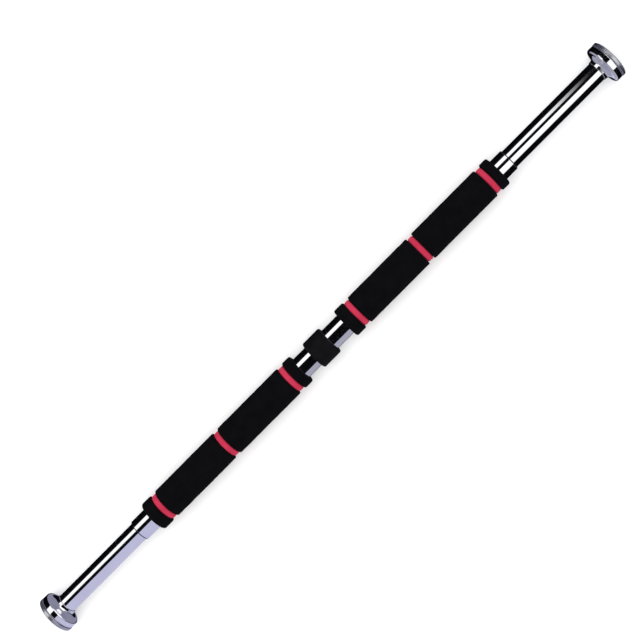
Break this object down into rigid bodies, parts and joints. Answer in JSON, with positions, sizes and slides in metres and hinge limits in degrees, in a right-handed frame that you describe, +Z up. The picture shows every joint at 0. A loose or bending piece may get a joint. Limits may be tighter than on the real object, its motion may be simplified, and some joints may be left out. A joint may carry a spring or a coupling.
{
  "type": "pull up bar",
  "caption": "Doorway pull-up bar: a chrome tube with foam grips and a centre collar, and a screw-out tube with a rubber-faced disc at each end to press against the door frame.",
  "frame": {"origin": "on the bar's axis, midway between the two rubber faces at rest", "axes": "+X along the bar from the left-hand-threaded end to the right-hand-threaded end, +Z up as the bar hangs in a doorway, +Y through the doorway"},
  "size_m": [1.049, 0.0562, 0.0562],
  "materials": {
    "main_tube": "bright mirror chrome plate",
    "centre_core": "plain turned steel, lightly oiled",
    "core_pin": "plain turned steel, lightly oiled",
    "centre_collar": "black moulded plastic, satin",
    "foam_grip_left_inner": "matte black closed-cell foam with fine pores",
    "foam_grip_left_outer": "matte black closed-cell foam with fine pores",
    "red_ring_left_inner": "matte crimson closed-cell foam",
    "red_ring_left_middle": "matte crimson closed-cell foam",
    "red_ring_left_outer": "matte crimson closed-cell foam",
    "end_ring_left_inner": "matte black closed-cell foam with fine pores",
    "end_ring_left_outer": "matte black closed-cell foam with fine pores",
    "mouth_bush_left": "black moulded plastic, satin",
    "screw_rod_left": "plain turned steel, lightly oiled",
    "stop_washer_left": "plain turned steel, lightly oiled",
    "stop_nut_left": "plain turned steel, lightly oiled",
    "guide_ring_left": "natural nylon",
    "extension_tube_left": "bright mirror chrome plate",
    "drive_nut_left": "plain turned steel, lightly oiled",
    "tube_plug_left": "plain turned steel, lightly oiled",
    "end_hub_left": "bright mirror chrome plate",
    "rim_cup_left": "satin-finished metal, softly reflecting",
    "clamp_screw_left": "plain turned steel, lightly oiled",
    "rubber_pad_left": "dark grey moulded rubber",
    "foam_grip_right_inner": "matte black closed-cell foam with fine pores",
    "foam_grip_right_outer": "matte black closed-cell foam with fine pores",
    "red_ring_right_inner": "matte crimson closed-cell foam",
    "red_ring_right_middle": "matte crimson closed-cell foam",
    "red_ring_right_outer": "matte crimson closed-cell foam",
    "end_ring_right_inner": "matte black closed-cell foam with fine pores",
    "end_ring_right_outer": "matte black closed-cell foam with fine pores",
    "mouth_bush_right": "black moulded plastic, satin",
    "screw_rod_right": "plain turned steel, lightly oiled",
    "stop_washer_right": "plain turned steel, lightly oiled",
    "stop_nut_right": "plain turned steel, lightly oiled",
    "guide_ring_right": "natural nylon",
    "extension_tube_right": "bright mirror chrome plate",
    "drive_nut_right": "plain turned steel, lightly oiled",
    "tube_plug_right": "plain turned steel, lightly oiled",
    "end_hub_right": "bright mirror chrome plate",
    "rim_cup_right": "satin-finished metal, softly reflecting",
    "clamp_screw_right": "plain turned steel, lightly oiled",
    "rubber_pad_right": "dark grey moulded rubber"
  },
  "bodies": {
    "main_bar": {"main_tube": "main_tube", "centre_core": "centre_core", "core_pin": "core_pin", "centre_collar": "centre_collar", "foam_grip_left_inner": "foam_grip_left_inner", "foam_grip_left_outer": "foam_grip_left_outer", "red_ring_left_inner": "red_ring_left_inner", "red_ring_left_middle": "red_ring_left_middle", "red_ring_left_outer": "red_ring_left_outer", "end_ring_left_inner": "end_ring_left_inner", "end_ring_left_outer": "end_ring_left_outer", "mouth_bush_left": "mouth_bush_left", "screw_rod_left": "screw_rod_left", "stop_washer_left": "stop_washer_left", "stop_nut_left": "stop_nut_left", "foam_grip_right_inner": "foam_grip_right_inner", "foam_grip_right_outer": "foam_grip_right_outer", "red_ring_right_inner": "red_ring_right_inner", "red_ring_right_middle": "red_ring_right_middle", "red_ring_right_outer": "red_ring_right_outer", "end_ring_right_inner": "end_ring_right_inner", "end_ring_right_outer": "end_ring_right_outer", "mouth_bush_right": "mouth_bush_right", "screw_rod_right": "screw_rod_right", "stop_washer_right": "stop_washer_right", "stop_nut_right": "stop_nut_right"},
    "left_guide": {"guide_ring_left": "guide_ring_left"},
    "left_end": {"extension_tube_left": "extension_tube_left", "drive_nut_left": "drive_nut_left", "tube_plug_left": "tube_plug_left", "end_hub_left": "end_hub_left", "rim_cup_left": "rim_cup_left", "clamp_screw_left": "clamp_screw_left", "rubber_pad_left": "rubber_pad_left"},
    "right_guide": {"guide_ring_right": "guide_ring_right"},
    "right_end": {"extension_tube_right": "extension_tube_right", "drive_nut_right": "drive_nut_right", "tube_plug_right": "tube_plug_right", "end_hub_right": "end_hub_right", "rim_cup_right": "rim_cup_right", "clamp_screw_right": "clamp_screw_right", "rubber_pad_right": "rubber_pad_right"}
  },
  "joints": [
    {"name": "left_travel", "type": "slide", "parent": "main_bar", "child": "left_guide", "axis": [-1, 0, 0], "range_m": [-0.141, 0.03]},
    {"name": "left_turn", "type": "hinge", "parent": "left_guide", "child": "left_end", "pos_m": [-0.5245, 0, 0], "axis": [1, 0, 0], "range_deg": [-8460, 1800]},
    {"name": "right_travel", "type": "slide", "parent": "main_bar", "child": "right_guide", "axis": [1, 0, 0], "range_m": [-0.159, 0.012]},
    {"name": "right_turn", "type": "hinge", "parent": "right_guide", "child": "right_end", "pos_m": [0.5245, 0, 0], "axis": [1, 0, 0], "range_deg": [-9540, 720]}
  ],
  "couplings": [
    {"joint": "left_travel", "follows": "left_turn", "m_per_rad": 0.00095493},
    {"joint": "right_travel", "follows": "right_turn", "m_per_rad": 0.00095493}
  ]
}
